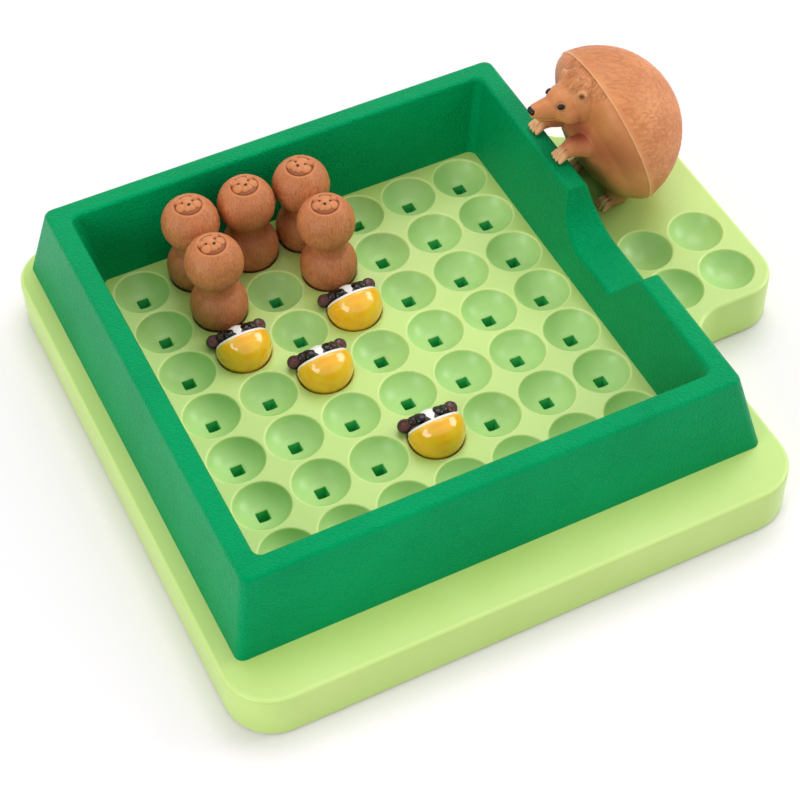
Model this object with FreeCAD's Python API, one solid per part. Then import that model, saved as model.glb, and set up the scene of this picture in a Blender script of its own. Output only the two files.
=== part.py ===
import FreeCAD, Part

import math
import os

from FreeCAD import Base

Vector = Base.Vector

# Walled jumping puzzle: a dimpled tray with a walled pen, a side platform, small two-ball
# figures, square-pegged blockers and one large figure that waits on the platform.
# Millimetres, +Z up. The origin is under the middle of the tray, on the standing surface.

# ---- driving dimensions -------------------------------------------------------------------
pitch = 22.0             # hole to hole, both ways
cells = 7                # holes along each side of the pen
board_top = 20.0         # upper face of the tray
foot_proud = 0.8         # how far the pads stand below the tray
board_half = 105.0       # grid centre to the left, right and back edges of the tray
board_front = 117.5      # grid centre to the front edge, which carries a wide bare strip
platform_right = 148.0   # grid centre to the platform's far edge
platform_front = -37.2   # platform's front and back edges, from the grid centre
platform_back = 67.0
corner_radius = 17.5
platform_radius = 15.0
skin = 1.8               # moulded wall of the tray
board_edge_round = 1.6

dimple_depth = 6.7
dimple_radius = 11.3     # spherical radius of a dimple
cup_skin = 1.2
socket_side = 4.4        # square hole in the bottom of a dimple
tube_side = 7.0
tube_top_gap = 0.05

tray_thickness = 2.4
tray_gap = 0.2

wall_height = 31.0
wall_in_floor = 77.6     # half widths of the four wall faces
wall_in_top = 83.4
wall_out_top = 91.0
wall_out_floor = 98.2
wall_skin = 2.0
wall_corner = 3.3
wall_edge_round = 1.2
notch_back = (13.8, -0.4)     # y at the rim, and y where the slope meets the sill
notch_front = (-37.4, -22.6)
notch_sill = 13.0             # height of the notch's sill above the tray
# Each slope from sill to rim, as shares of its run and of its rise.
back_slope = [(0, 0), (0.3, 0.06), (0.57, 0.24), (0.81, 0.48), (0.93, 0.7), (1, 1)]
front_slope = [(0, 0), (0.14, 0.08), (0.5, 0.5), (0.86, 0.92), (1, 1)]

ball_radius = 10.7
lower_ball_lift = 4.7    # ball centres above the tray's upper face
upper_ball_lift = 26.0
waist_fillet = 4.0

blocker_radius = 10.2
blocker_lift = 3.1
blocker_seat_gap = 0.35
peg_side = 4.0
peg_bottom = 7.0
face_plane = (0.88, 0.47, 2.6)   # y and z of its normal, and its distance from the ball's centre
ear_radius = 2.7
ear_place = (9.3, 7.2, 1.2)

mother_place = (112.45, 38.0)    # rim centre, from the grid centre
mother_radius = 31.6
mother_depth = 28.1              # of the back, behind the rim
mother_lean = math.radians(16.5)
mother_skin = 2.2
belly_depth = 14.5               # in front of the rim
belly_drop = 2.8
rest_gap = 0.3

screw_shank = 1.4        # radii of a screw's shank and head
screw_head = 2.7
screw_clearance = 0.15
screw_fit = 0.05
tray_screw_length = 11.0
frame_screw_length = 10.0
boss_radius = 3.2
pad_radius = 7.0
pad_top = foot_proud + 0.8

grid_x = (board_half - platform_right) / 2.0
grid_y = (board_front - board_half) / 2.0
board_bottom = foot_proud
dimple_centre = board_top - dimple_depth + dimple_radius
socket_top = board_top - dimple_depth - cup_skin / 2   # where a tube meets its dimple from below
tray_top = board_bottom + tray_thickness
wall_top = board_top + wall_height

# Cells are counted from the back left corner: column to the right, row to the front.
small_figures = [(1, 0), (2, 0), (3, 0), (1, 1), (3, 1)]
blockers = [(1, 2), (3, 2), (2, 3), (3, 5)]
pen_cells = [(column, row) for row in range(cells) for column in range(cells)]
parking_cells = [(column, row) for row in (3, 4) for column in (8, 9)]

# Screw posts and pads, each (x, y) from the grid centre.
board_bosses = [(-92, -104), (0, -107), (92, -104), (-98.5, 0), (-94.5, 94.5), (94.5, 94.5),
                (121, -11), (137, 55)]
frame_bosses = [(-88, -88), (0, -88), (88, -88), (88, 55), (88, 88), (0, 88), (-88, 88), (-88, 0)]
pads = [(-85, -97), (85, -97), (-85, 85), (85, 85), (136, -24), (120, 50)]


# ---- helpers ------------------------------------------------------------------------------
def at(x, y, z=0.0):
    """A point given from the grid centre."""
    return Vector(grid_x + x, grid_y + y, z)


def cell_place(cell):
    column, row = cell
    middle = (cells - 1) / 2.0
    return (column - middle) * pitch, (middle - row) * pitch


def rounded_face(corners, z):
    """Planar face of a polygon whose corners (x, y, radius) are rounded by tangent arcs."""
    edges = []
    starts, ends = [], []
    count = len(corners)
    for index, (x, y, radius) in enumerate(corners):
        here = at(x, y, z)
        before = at(*corners[index - 1][:2], z) - here
        after = at(*corners[(index + 1) % count][:2], z) - here
        before.normalize()
        after.normalize()
        turn = math.pi - before.getAngle(after)
        reach = radius * math.tan(turn / 2)
        bisector = (before + after).normalize()
        centre = here + bisector * (radius / math.cos(turn / 2))
        start = here + before * reach
        end = here + after * reach
        edges.append(Part.Arc(start, centre - bisector * radius, end).toShape())
        starts.append(start)
        ends.append(end)
    sides = [Part.LineSegment(ends[index - 1], starts[index]).toShape() for index in range(count)]
    return Part.Face(Part.Wire([edge for pair in zip(sides, edges) for edge in pair]))


def board_face(inset, z):
    """The tray's outline, moved inwards."""
    half = board_half - inset
    right = platform_right - inset
    low = platform_front + inset
    high = platform_back - inset
    outer = corner_radius - inset
    tip = platform_radius - inset
    inner = platform_radius + inset
    return rounded_face([
        (-half, -board_front + inset, outer),
        (half, -board_front + inset, outer),
        (half, low, inner),
        (right, low, tip),
        (right, high, tip),
        (half, high, inner),
        (half, half, outer),
        (-half, half, outer)], z)


def square_wire(half, radius, z):
    signs = [(-1, -1), (1, -1), (1, 1), (-1, 1)]
    return rounded_face([(half * across, half * along, radius) for across, along in signs], z).OuterWire


def tapered(half_low, half_high, radius, low, high):
    """Square solid whose sides lean, with rounded upright corners."""
    wires = [square_wire(half_low, radius, low), square_wire(half_high, radius, high)]
    return Part.makeLoft(wires, True, True)


def post(x, y, low, high, radius):
    return Part.makeCylinder(radius, high - low, at(x, y, low))


def square_post(x, y, low, high, side):
    return Part.makeBox(side, side, high - low, at(x - side / 2, y - side / 2, low))


def edges_at(shape, z):
    """Edges that lie wholly at one height."""
    return [edge for edge in shape.Edges
            if abs(edge.BoundBox.ZMin - z) < 1e-4 and abs(edge.BoundBox.ZMax - z) < 1e-4]


def join(shapes):
    """Fuse shapes one after another, which is steadier than all at once for blended balls."""
    whole = shapes[0]
    for shape in shapes[1:]:
        whole = whole.fuse(shape)
    return whole


def save(name, shape):
    shape = shape.removeSplitter()
    if not shape.isValid() or not shape.Solids:
        raise ValueError(name + " is not a valid shape")
    shape.exportStep("parts/" + name + ".step")
    box = shape.BoundBox
    sizes = (name, len(shape.Solids), shape.Volume, box.ZMin, box.ZMax)
    print("%-20s %2d solid(s)  volume %10.1f  z %.2f to %.2f" % sizes)


# ---- tray ---------------------------------------------------------------------------------
def make_board_shell():
    """Light tray: one skin with a dimple over every cell and bosses for the screws below."""
    block = board_face(0, board_bottom).extrude(Vector(0, 0, board_top - board_bottom))
    block = block.makeFillet(board_edge_round, edges_at(block, board_top))
    hollow = board_face(skin, board_bottom).extrude(Vector(0, 0, board_top - skin - board_bottom))
    kept = []
    cut = []
    for cell in pen_cells + parking_cells:
        x, y = cell_place(cell)
        kept.append(Part.makeSphere(dimple_radius + cup_skin, at(x, y, dimple_centre)))
        cut.append(Part.makeSphere(dimple_radius, at(x, y, dimple_centre)))
    for cell in pen_cells:
        x, y = cell_place(cell)
        cut.append(square_post(x, y, socket_top - cup_skin, board_top, socket_side))
        cut.append(square_post(x, y, socket_top - 2 * cup_skin, socket_top, tube_side + 2 * tray_gap))
    for x, y in board_bosses:
        kept.append(post(x, y, tray_top + 0.05, board_top - skin, boss_radius))
        cut.append(post(x, y, tray_top, board_top - 2 * skin, screw_shank + screw_fit))
    for x, y in frame_bosses:
        cut.append(post(x, y, board_top - skin, board_top, screw_shank + screw_clearance))
    return block.cut(hollow.cut(kept)).cut(cut)


def make_socket_tray():
    """Dark closing plate with a square tube under every hole of the pen."""
    plate = board_face(skin + tray_gap, board_bottom).extrude(Vector(0, 0, tray_thickness))
    tube_top = socket_top - tube_top_gap
    tubes = []
    bores = []
    for cell in pen_cells:
        x, y = cell_place(cell)
        tubes.append(square_post(x, y, tray_top - 0.5, tube_top, tube_side))
        bores.append(square_post(x, y, tray_top, tube_top + 1, socket_side))
    for x, y in board_bosses:
        bores.append(post(x, y, board_bottom, tray_top, screw_shank + screw_clearance))
        bores.append(post(x, y, board_bottom, tray_top - 1, screw_head + screw_clearance))
    for x, y in pads:
        bores.append(post(x, y, board_bottom, pad_top, pad_radius + 0.1))
    return plate.fuse(tubes).cut(bores)


def make_pads():
    return Part.makeCompound([post(x, y, 0, pad_top, pad_radius) for x, y in pads])


def screw(x, y, head_low, length):
    """Pan-head screw standing head down, with a square drive in the head."""
    head_high = head_low + screw_head / 2
    head = post(x, y, head_low, head_high, screw_head)
    drive = square_post(x, y, head_low, (head_low + head_high) / 2, screw_shank)
    return head.cut(drive).fuse(post(x, y, head_high, head_high + length, screw_shank))


def make_screws(places, head_low, length):
    return Part.makeCompound([screw(x, y, head_low, length) for x, y in places])


# ---- walled frame -------------------------------------------------------------------------
def notch_slope(low, high, shares):
    """One end of the notch from its sill to its rim, seen along X."""
    rise = high - low
    curve = Part.BSplineCurve()
    curve.interpolate([low + Vector(0, rise.y * run, rise.z * climb) for run, climb in shares])
    return curve.toShape()


def notch_prism(grow):
    """Space of the notch, wider and deeper by grow, along X through the right-hand wall."""
    sill = board_top + notch_sill - grow
    above = wall_top + notch_sill
    low_front, low_back = [Vector(0, place[1], sill) for place in (notch_front, notch_back)]
    rim_front = Vector(0, notch_front[0] - grow, wall_top)
    rim_back = Vector(0, notch_back[0] + grow, wall_top)
    top_front = Vector(0, rim_front.y, above)
    top_back = Vector(0, rim_back.y, above)
    ends = [(low_back, low_front), (rim_front, top_front), (top_front, top_back), (top_back, rim_back)]
    edges = [Part.LineSegment(start, end).toShape() for start, end in ends]
    edges.append(notch_slope(low_front, rim_front, front_slope))
    edges.append(notch_slope(low_back, rim_back, back_slope))
    face = Part.Face(Part.Wire(Part.__sortEdges__(edges)))
    face.translate(at(wall_in_floor - wall_skin, 0))
    return face.extrude(Vector(wall_out_floor - wall_in_floor + 2 * wall_skin, 0, 0))


def wall_ring(inset):
    """The four walls as one solid ring, with every face but the lowest moved inwards by inset."""
    reach = wall_height - inset
    out_floor = wall_out_floor - inset
    in_floor = wall_in_floor + inset
    out_top = out_floor - (wall_out_floor - wall_out_top) * reach / wall_height
    in_top = in_floor + (wall_in_top - wall_in_floor) * reach / wall_height
    outer = tapered(out_floor, out_top, wall_corner - inset, board_top, board_top + reach)
    inner = tapered(in_floor, in_top, wall_corner + inset, board_top, board_top + reach)
    return outer.cut(inner)


def make_wall_frame():
    """Dark frame: a hollow wall round the pen, open below, cut down at the notch."""
    solid = wall_ring(0)
    solid = solid.makeFillet(wall_edge_round, edges_at(solid, wall_top)).cut(notch_prism(0))
    hollow = wall_ring(wall_skin).cut(notch_prism(wall_skin))
    bosses = [post(x, y, board_top, wall_top - wall_skin, boss_radius) for x, y in frame_bosses]
    bore_top = board_top + frame_screw_length
    bores = [post(x, y, board_top, bore_top, screw_shank + screw_fit) for x, y in frame_bosses]
    return solid.cut(hollow.cut(bosses)).cut(bores)


# ---- small figures ------------------------------------------------------------------------
def make_small_figure(cell):
    """Two stacked balls joined by a waist, turned in one piece."""
    x, y = cell_place(cell)
    low = board_top + lower_ball_lift
    high = board_top + upper_ball_lift
    middle = (low + high) / 2
    waist_x = math.sqrt((ball_radius + waist_fillet) ** 2 - ((high - low) / 2) ** 2)
    share = ball_radius / (ball_radius + waist_fillet)
    low_touch = Vector(waist_x * share, 0, low + (middle - low) * share)
    high_touch = Vector(waist_x * share, 0, high - (high - middle) * share)
    edges = [
        Part.Arc(Vector(0, 0, low - ball_radius), Vector(ball_radius, 0, low), low_touch).toShape(),
        Part.Arc(low_touch, Vector(waist_x - waist_fillet, 0, middle), high_touch).toShape(),
        Part.Arc(high_touch, Vector(ball_radius, 0, high), Vector(0, 0, high + ball_radius)).toShape(),
        Part.LineSegment(Vector(0, 0, high + ball_radius), Vector(0, 0, low - ball_radius)).toShape()]
    figure = Part.Face(Part.Wire(edges)).revolve(Vector(0, 0, 0), Vector(0, 0, 1), 360)
    figure.translate(at(x, y))
    return figure


# ---- blockers -----------------------------------------------------------------------------
def half_space(place, normal, size=40.0):
    """Large box whose one face passes through place, filling the side that normal points to."""
    box = Part.makeBox(2 * size, 2 * size, size, Vector(-size, -size, 0))
    box.Placement = Base.Placement(place, Base.Rotation(Vector(0, 0, 1), normal))
    return box


def make_blocker(cell):
    """Pegged blocker: a round body that seats in its dimple, and a head with two ears."""
    x, y = cell_place(cell)
    centre = at(x, y, board_top + blocker_lift)
    ball = Part.makeSphere(blocker_radius, centre)
    seat = Part.makeSphere(dimple_radius - blocker_seat_gap, at(x, y, dimple_centre))
    ball = ball.common(seat)
    normal = Vector(0, face_plane[0], face_plane[1]).normalize()
    head_side = half_space(centre + normal * face_plane[2], normal)
    body = ball.cut(head_side).fuse(square_post(x, y, peg_bottom, board_top - 3, peg_side))
    ears = [Part.makeSphere(ear_radius, centre + Vector(side * ear_place[0], ear_place[1], ear_place[2]))
            for side in (-1, 1)]
    head = ball.common(head_side).fuse(ears)
    return body, head


# ---- large figure -------------------------------------------------------------------------
def mother_frame():
    """Rim centre and the forward, side and up directions of the large figure."""
    lift = mother_radius * math.cos(mother_lean) + rest_gap
    centre = at(mother_place[0], mother_place[1], board_top + lift)
    forward = Vector(-math.cos(mother_lean), 0, -math.sin(mother_lean))
    side = Vector(0, 1, 0)
    up = Vector(-math.sin(mother_lean), 0, math.cos(mother_lean))
    return centre, forward, side, up


def dome_cap(centre, axis, radius, depth):
    """Part of a ball: its flat side is round the centre and it stands out along the axis."""
    ball_radius = (radius * radius + depth * depth) / (2 * depth)
    ball = Part.makeSphere(ball_radius, centre + axis * (depth - ball_radius))
    return ball.cut(half_space(centre, axis * -1, 80))


def make_mother_back():
    """Hollow dome with a sharp rim."""
    centre, forward, side, up = mother_frame()
    outer = dome_cap(centre, forward * -1, mother_radius, mother_depth)
    return outer.cut(dome_cap(centre, forward * -1, mother_radius - mother_skin, mother_depth - mother_skin))


def limb(start, end, radius):
    way = end - start
    rod = Part.makeCylinder(radius, way.Length, start, way)
    return join([rod, Part.makeSphere(radius, start), Part.makeSphere(radius, end)])


def make_mother_body():
    """Front of the large figure: belly, head, arms that lean on the wall, and feet."""
    centre, forward, side, up = mother_frame()
    x, y = mother_place
    plate = Part.makeCylinder(mother_radius - 0.6, 1.5, centre, forward)
    spigot = Part.makeCylinder(mother_radius - mother_skin - 0.15, 2.0, centre - forward * 1.8, forward)
    belly = dome_cap(centre - up * belly_drop, forward, mother_radius - 0.6 - belly_drop, belly_depth)
    neck = at(x - 12.45, y, board_top + 50.5)
    skull = at(x - 18.15, y, board_top + 49.5)
    nose = at(x - 30.05, y, board_top + 50.4)
    snout = Part.makeCone(6.4, 2.6, (nose - skull).Length, skull, nose - skull)
    pieces = [plate, spigot, belly, Part.makeSphere(10.5, neck), Part.makeSphere(7.6, skull), snout,
              Part.makeSphere(2.6, nose)]
    arm_radius = 4.0
    wrist_z = wall_top + arm_radius + 1.5 * rest_gap
    for hand in (-1, 1):
        arm_y = y + hand * 8.8
        shoulder = at(x - 11.5, arm_y + hand * 1.0, wall_top + 4.5)
        wrist = at(x - 19.15, arm_y, wrist_z)
        pieces.append(limb(shoulder, wrist, arm_radius))
        pieces.append(limb(wrist, at(x - 23.0, arm_y, wall_top + 2.8), 2.5))
        pieces.append(Part.makeSphere(4.6, at(x - 18.05, y + hand * 4.6, board_top + 48.7)))
        heel = at(x + 1.55, y + hand * 10.5, board_top + rest_gap + 2.6)
        pieces.append(limb(heel, heel + Vector(-7.5, 0, 0), 2.6))
        pieces.append(limb(heel, heel + Vector(2.0, 0, 6.5), 2.6))
    return join(pieces).cut(make_mother_back())


# ---- write every node ---------------------------------------------------------------------
os.makedirs("parts", exist_ok=True)
save("board_shell", make_board_shell())
save("socket_tray", make_socket_tray())
save("wall_frame", make_wall_frame())
save("rubber_pads", make_pads())
save("tray_screws", make_screws(board_bosses, tray_top - 1 - screw_head / 2, tray_screw_length))
save("frame_screws", make_screws(frame_bosses, board_top - skin - screw_head / 2, frame_screw_length))
for number, place in enumerate(small_figures, 1):
    save("baby_hedgehog_%d" % number, make_small_figure(place))
for number, place in enumerate(blockers, 1):
    body_piece, head_piece = make_blocker(place)
    save("badger_%d_body" % number, body_piece)
    save("badger_%d_head" % number, head_piece)
save("mother_back", make_mother_back())
save("mother_body", make_mother_body())
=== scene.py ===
import math

import bmesh
import bpy
from mathutils import Euler, Matrix, Vector, noise
from mathutils.geometry import delaunay_2d_cdt


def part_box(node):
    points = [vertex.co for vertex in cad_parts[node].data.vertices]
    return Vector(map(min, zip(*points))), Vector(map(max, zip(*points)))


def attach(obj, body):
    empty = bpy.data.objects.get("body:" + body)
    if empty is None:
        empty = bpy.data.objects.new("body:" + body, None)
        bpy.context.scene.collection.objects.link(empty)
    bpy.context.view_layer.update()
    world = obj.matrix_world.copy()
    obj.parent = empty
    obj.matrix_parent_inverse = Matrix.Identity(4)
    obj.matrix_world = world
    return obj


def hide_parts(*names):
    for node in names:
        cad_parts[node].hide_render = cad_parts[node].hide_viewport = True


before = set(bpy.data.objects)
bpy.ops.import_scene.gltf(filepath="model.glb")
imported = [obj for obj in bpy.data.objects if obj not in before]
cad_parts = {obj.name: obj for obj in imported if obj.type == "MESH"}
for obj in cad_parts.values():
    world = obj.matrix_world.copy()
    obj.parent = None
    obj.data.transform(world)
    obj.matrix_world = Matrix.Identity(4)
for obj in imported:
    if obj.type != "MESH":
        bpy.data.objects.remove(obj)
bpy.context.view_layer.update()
scene = bpy.context.scene
millimetre = 0.001

# Shapes below are in millimetres and turn into metres when a piece is made.
wallLow, wallHigh = [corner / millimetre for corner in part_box("wall_frame")]
gridX = (wallLow.x + wallHigh.x) / 2
gridY = (wallLow.y + wallHigh.y) / 2
trayTop = wallLow.z
wallTop = wallHigh.z


def gridPoint(x, y, z=0.0):
    return Vector((gridX + x, gridY + y, z))


def paint(red, green, blue):  # 0-255 screen colour to the shader's linear one
    channels = []
    for value in (red, green, blue):
        share = value / 255
        channels.append(share / 12.92 if share < 0.04 else ((share + 0.055) / 1.055) ** 2.4)
    return (*channels, 1.0)


def smoothStep(low, high, value):
    share = min(1.0, max(0.0, (value - low) / (high - low)))
    return share * share * (3 - 2 * share)


def hump(distance, width):  # soft bump, 1 in the middle
    return math.exp(-(distance / width) ** 2)


def flipped(place, sign):  # the same spot on the left or the right half
    return Vector((sign * place[0], place[1], place[2]))


def ridge(sample, narrowness, power):  # 1 along winding lines and 0 between them
    return max(0.0, 1 - abs(noise.noise(sample)) * narrowness) ** power


def tintRings(rings, layer, share):
    for ring in rings:
        for vert in ring:
            vert[layer] = share


def bend(start, corner, finish, share):
    first, second, third = (1 - share) ** 2, 2 * share * (1 - share), share ** 2
    return tuple(first * a + second * b + third * c for a, b, c in zip(start, corner, finish))


def addRing(mesh, points):
    return [mesh.verts.new(point) for point in points]


def roundTurns(count, shift=0.0):  # angles once round a circle
    return [2 * math.pi * (step + shift) / count for step in range(count)]


def outward(first, second, angle):
    return first * math.cos(angle) + second * math.sin(angle)


def bridgeRings(mesh, first, second):
    count = len(first)
    for index in range(count):
        after = (index + 1) % count
        mesh.faces.new((first[index], first[after], second[after], second[index]))


def bridgeAll(mesh, rings, looped=False):
    if looped:
        rings = [rings[-1]] + rings
    for first, second in zip(rings, rings[1:]):
        bridgeRings(mesh, first, second)


def fanRing(mesh, ring, point):
    middle = mesh.verts.new(point)
    for index, vert in enumerate(ring):
        mesh.faces.new((ring[index - 1], vert, middle))


def turnProfile(mesh, profile, centre, around=32):  # profile is (radius, height) from low to high
    rings = []
    for radius, height in profile:
        rings.append(addRing(mesh, [centre + Vector((radius * math.cos(angle), radius * math.sin(angle), height))
                                    for angle in roundTurns(around)]))
    bridgeAll(mesh, rings)


def addPebble(mesh, centre, size, turn=None):  # slightly squared ellipsoid, for eyes and noses
    made = bmesh.ops.create_uvsphere(mesh, u_segments=24, v_segments=16, radius=1.0)
    for vert in made["verts"]:
        flat = Vector([math.copysign(abs(value) ** 0.92, value) for value in vert.co])
        shaped = Vector((flat.x * size[0], flat.y * size[1], flat.z * size[2]))
        vert.co = Vector(centre) + (turn @ shaped if turn else shaped)


def addLobe(mesh, centre, radii, turn=None):
    made = bmesh.ops.create_icosphere(mesh, subdivisions=4, radius=1.0)
    for vert in made["verts"]:
        shaped = Vector([value * radius for value, radius in zip(vert.co, radii)])
        vert.co = centre + (turn @ shaped if turn else shaped)


def addRod(mesh, start, end, startRadius, endRadius):
    steps = 7
    for step in range(steps + 1):
        share = step / steps
        radius = startRadius + (endRadius - startRadius) * share
        addLobe(mesh, start.lerp(end, share), (radius,) * 3)


def meshData(mesh, name):
    data = bpy.data.meshes.new(name)
    mesh.to_mesh(data)
    mesh.free()
    return data


def finishMesh(mesh, name):  # faces outward, millimetres to metres
    bmesh.ops.recalc_face_normals(mesh, faces=mesh.faces)
    bmesh.ops.scale(mesh, vec=(millimetre,) * 3, verts=mesh.verts)
    data = meshData(mesh, name)
    data.shade_smooth()
    return data


def linkObject(name, data):
    made = bpy.data.objects.new(name, data)
    scene.collection.objects.link(made)
    return made


def voxelSculpt(mesh, name, voxel, softening=4):  # lobes melted into one skin
    holder = linkObject(name, meshData(mesh, name))
    remesh = holder.modifiers.new("remesh", "REMESH")
    remesh.mode = "VOXEL"
    remesh.voxel_size = voxel
    soften = holder.modifiers.new("soften", "SMOOTH")
    soften.factor = 0.5
    soften.iterations = softening
    done = bpy.data.meshes.new_from_object(holder.evaluated_get(bpy.context.evaluated_depsgraph_get()))
    bpy.data.objects.remove(holder)
    return done


def carveSkin(data, moved, shares):  # new places in metres, and one mask for each name in shares
    data.vertices.foreach_set("co", moved)
    for name, values in shares.items():
        data.attributes.new(name, "FLOAT", "POINT").data.foreach_set("value", values)
    data.update()
    data.materials.clear()
    return data


def makePiece(name, mesh, material, body, replaced=(), sharp=None):
    placePiece(name, finishMesh(mesh, name), material, body, replaced, sharp=sharp)


def placePiece(name, data, material, body, replaced=(), place=None, sharp=None):
    piece = linkObject(name, data)
    data.shade_smooth()
    if sharp:
        data.set_sharp_from_angle(angle=math.radians(sharp))
        weighted = piece.modifiers.new("weighted", "WEIGHTED_NORMAL")
        weighted.keep_sharp = True
        weighted.weight = 80
    if not data.materials:
        data.materials.append(material)
    if place:
        piece.matrix_world = place
    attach(piece, body)
    if replaced:
        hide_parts(*replaced)


def addNode(tree, kind, inputs=None, **settings):
    made = tree.nodes.new("ShaderNode" + kind)
    for key, value in settings.items():
        setattr(made, key, value)
    for key, value in (inputs or {}).items():
        if isinstance(value, bpy.types.NodeSocket):
            tree.links.new(value, made.inputs[key])
        else:
            made.inputs[key].default_value = value
    return made


def mixColours(tree, factor, first, second):
    return addNode(tree, "Mix", {0: factor, 6: first, 7: second}, data_type="RGBA").outputs[2]


def addNoise(tree, scale, detail=3.0, stretch=(1.0, 1.0, 1.0), low=0.0, high=1.0):
    place = addNode(tree, "TexCoord").outputs["Object"]
    if stretch != (1.0, 1.0, 1.0):
        place = addNode(tree, "Mapping", {"Vector": place, "Scale": stretch}).outputs[0]
    cloud = addNode(tree, "TexNoise", {"Vector": place, "Scale": scale, "Detail": detail}).outputs[0]
    return addNode(tree, "MapRange", {0: cloud, 1: 0.25, 2: 0.75, 3: low, 4: high}).outputs[0]


def addMask(tree, attribute):
    return addNode(tree, "Attribute", attribute_name=attribute).outputs["Fac"]


def makeMaterial(name, look):
    # colour drifts between two shades, masks carried by the mesh tint it, fine noise moves the gloss
    material = bpy.data.materials.new(name)
    material.use_nodes = True
    tree = material.node_tree
    shader = tree.nodes["Principled BSDF"]
    drift = addNoise(tree, look.get("driftScale", 60.0), 4.0)
    colour = mixColours(tree, drift, look["shade"], look["colour"])
    if "fleck" in look:
        fleck = addNoise(tree, look["fleckScale"], 2.0, low=0.0, high=look["fleckShare"])
        colour = mixColours(tree, fleck, colour, look["fleck"])
    for attribute, tint in look.get("tints", {}).items():
        colour = mixColours(tree, addMask(tree, attribute), colour, tint)
    tree.links.new(colour, shader.inputs["Base Color"])
    low, high = look["roughness"]
    gloss = addNoise(tree, look.get("glossScale", 400.0), 2.0, low=low, high=high)
    tree.links.new(gloss, shader.inputs["Roughness"])
    grain = addNoise(tree, look["grainScale"], look.get("grainDetail", 2.0))
    if "pebble" in look:
        place = addNode(tree, "TexCoord").outputs["Object"]
        cells = addNode(tree, "TexVoronoi", {"Vector": place, "Scale": look["pebble"]}, feature="SMOOTH_F1")
        grain = addNode(tree, "Math", {0: grain, 1: cells.outputs["Distance"]}, operation="SUBTRACT").outputs[0]
    bump = addNode(tree, "Bump", {"Height": grain, "Strength": look["grainStrength"],
                                  "Distance": look["grainDepth"]})
    tree.links.new(bump.outputs[0], shader.inputs["Normal"])
    for socket, value in look.get("sockets", {}).items():
        shader.inputs[socket].default_value = value
    return material


lightGreen = makeMaterial("light_green_plastic", {
    "shade": paint(182, 214, 112), "colour": paint(194, 222, 128), "driftScale": 25.0,
    # tints: a cooler green painted inside the dimples as sheen, a pale painted highlight on rounded rims, and darker
    # green painted down the holes as shade
    "tints": {"bowlSheen": paint(176, 218, 134), "rimHighlight": paint(214, 236, 156),
              "wellShade": paint(96, 192, 104)},
    "roughness": (0.28, 0.37), "grainScale": 3000.0, "grainStrength": 0.12, "grainDepth": 0.00004,
    "sockets": {"Specular IOR Level": 0.4, "Subsurface Weight": 0.1, "Subsurface Radius": (0.003, 0.004, 0.001),
                "Subsurface Scale": 1.0}})

darkGreen = makeMaterial("dark_green_plastic", {
    "shade": paint(0, 134, 76), "colour": paint(0, 151, 87), "driftScale": 40.0,
    "fleck": paint(0, 174, 100), "fleckScale": 1800.0, "fleckShare": 0.3,
    "roughness": (0.34, 0.5), "glossScale": 1500.0,
    "grainScale": 1500.0, "pebble": 1100.0, "grainStrength": 0.9, "grainDepth": 0.0003,
    "sockets": {"Specular IOR Level": 0.24, "Specular Tint": (0.0, 0.8, 0.75, 1.0)}})

trayGreen = makeMaterial("tray_green_plastic", {
    "shade": paint(56, 204, 118), "colour": paint(96, 226, 146), "driftScale": 60.0,
    "roughness": (0.4, 0.5), "grainScale": 1500.0, "grainStrength": 0.2, "grainDepth": 0.0001,
    "sockets": {"Specular IOR Level": 0.3}})

padRubber = makeMaterial("pad_rubber", {
    "shade": paint(38, 38, 40), "colour": paint(52, 52, 54), "roughness": (0.7, 0.85),
    "grainScale": 2600.0, "grainStrength": 0.3, "grainDepth": 0.00005})

screwSteel = makeMaterial("screw_steel", {
    "shade": paint(150, 152, 156), "colour": paint(182, 184, 188), "driftScale": 300.0,
    "roughness": (0.22, 0.38), "grainScale": 2600.0, "grainStrength": 0.1, "grainDepth": 0.00003,
    "sockets": {"Metallic": 1.0}})

brownVinyl = makeMaterial("brown_vinyl", {
    "shade": paint(200, 122, 72), "colour": paint(222, 148, 90), "driftScale": 90.0,
    # tints: painted shade in grooves and cuts; a reddish tone that deepens into painted shade on undersides and under
    # the neck, jaw and arm; olive painted shade low on the large figure; and pale, which is painted highlight along the
    # back's rim and on the fur and also marks the ear rings and toe tips
    "tints": {"blushAndShade": paint(162, 80, 58), "oliveShade": paint(164, 122, 62), "furrowShade": paint(120, 58, 34),
              "edge": paint(240, 190, 140)},
    "roughness": (0.42, 0.58), "grainScale": 2400.0, "grainStrength": 0.2, "grainDepth": 0.00005,
    "sockets": {"Specular IOR Level": 0.35}})

yellowPlastic = makeMaterial("yellow_plastic", {
    "shade": paint(255, 172, 14), "colour": paint(255, 206, 40), "driftScale": 160.0,
    "roughness": (0.12, 0.18), "grainScale": 900.0, "grainStrength": 0.04, "grainDepth": 0.00004,
    "sockets": {"Coat Weight": 0.5, "Coat Roughness": 0.05}})

facePaint = makeMaterial("badger_face_paint", {
    "shade": paint(232, 228, 222), "colour": paint(250, 248, 244), "driftScale": 200.0,
    "tints": {"stripe": paint(58, 30, 24)},
    "roughness": (0.2, 0.3), "grainScale": 1200.0, "grainStrength": 0.1, "grainDepth": 0.00005})

darkPaint = makeMaterial("dark_face_paint", {
    "shade": paint(24, 10, 8), "colour": paint(48, 22, 16), "driftScale": 500.0,
    # a lighter reddish brown on the lids, in the ear hollows, round the ears and on the raised hair
    "tints": {"blushAndShade": paint(92, 42, 30)},
    "roughness": (0.16, 0.26), "grainScale": 900.0, "grainStrength": 0.2, "grainDepth": 0.00008,
    "sockets": {"Specular IOR Level": 0.35}})

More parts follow.
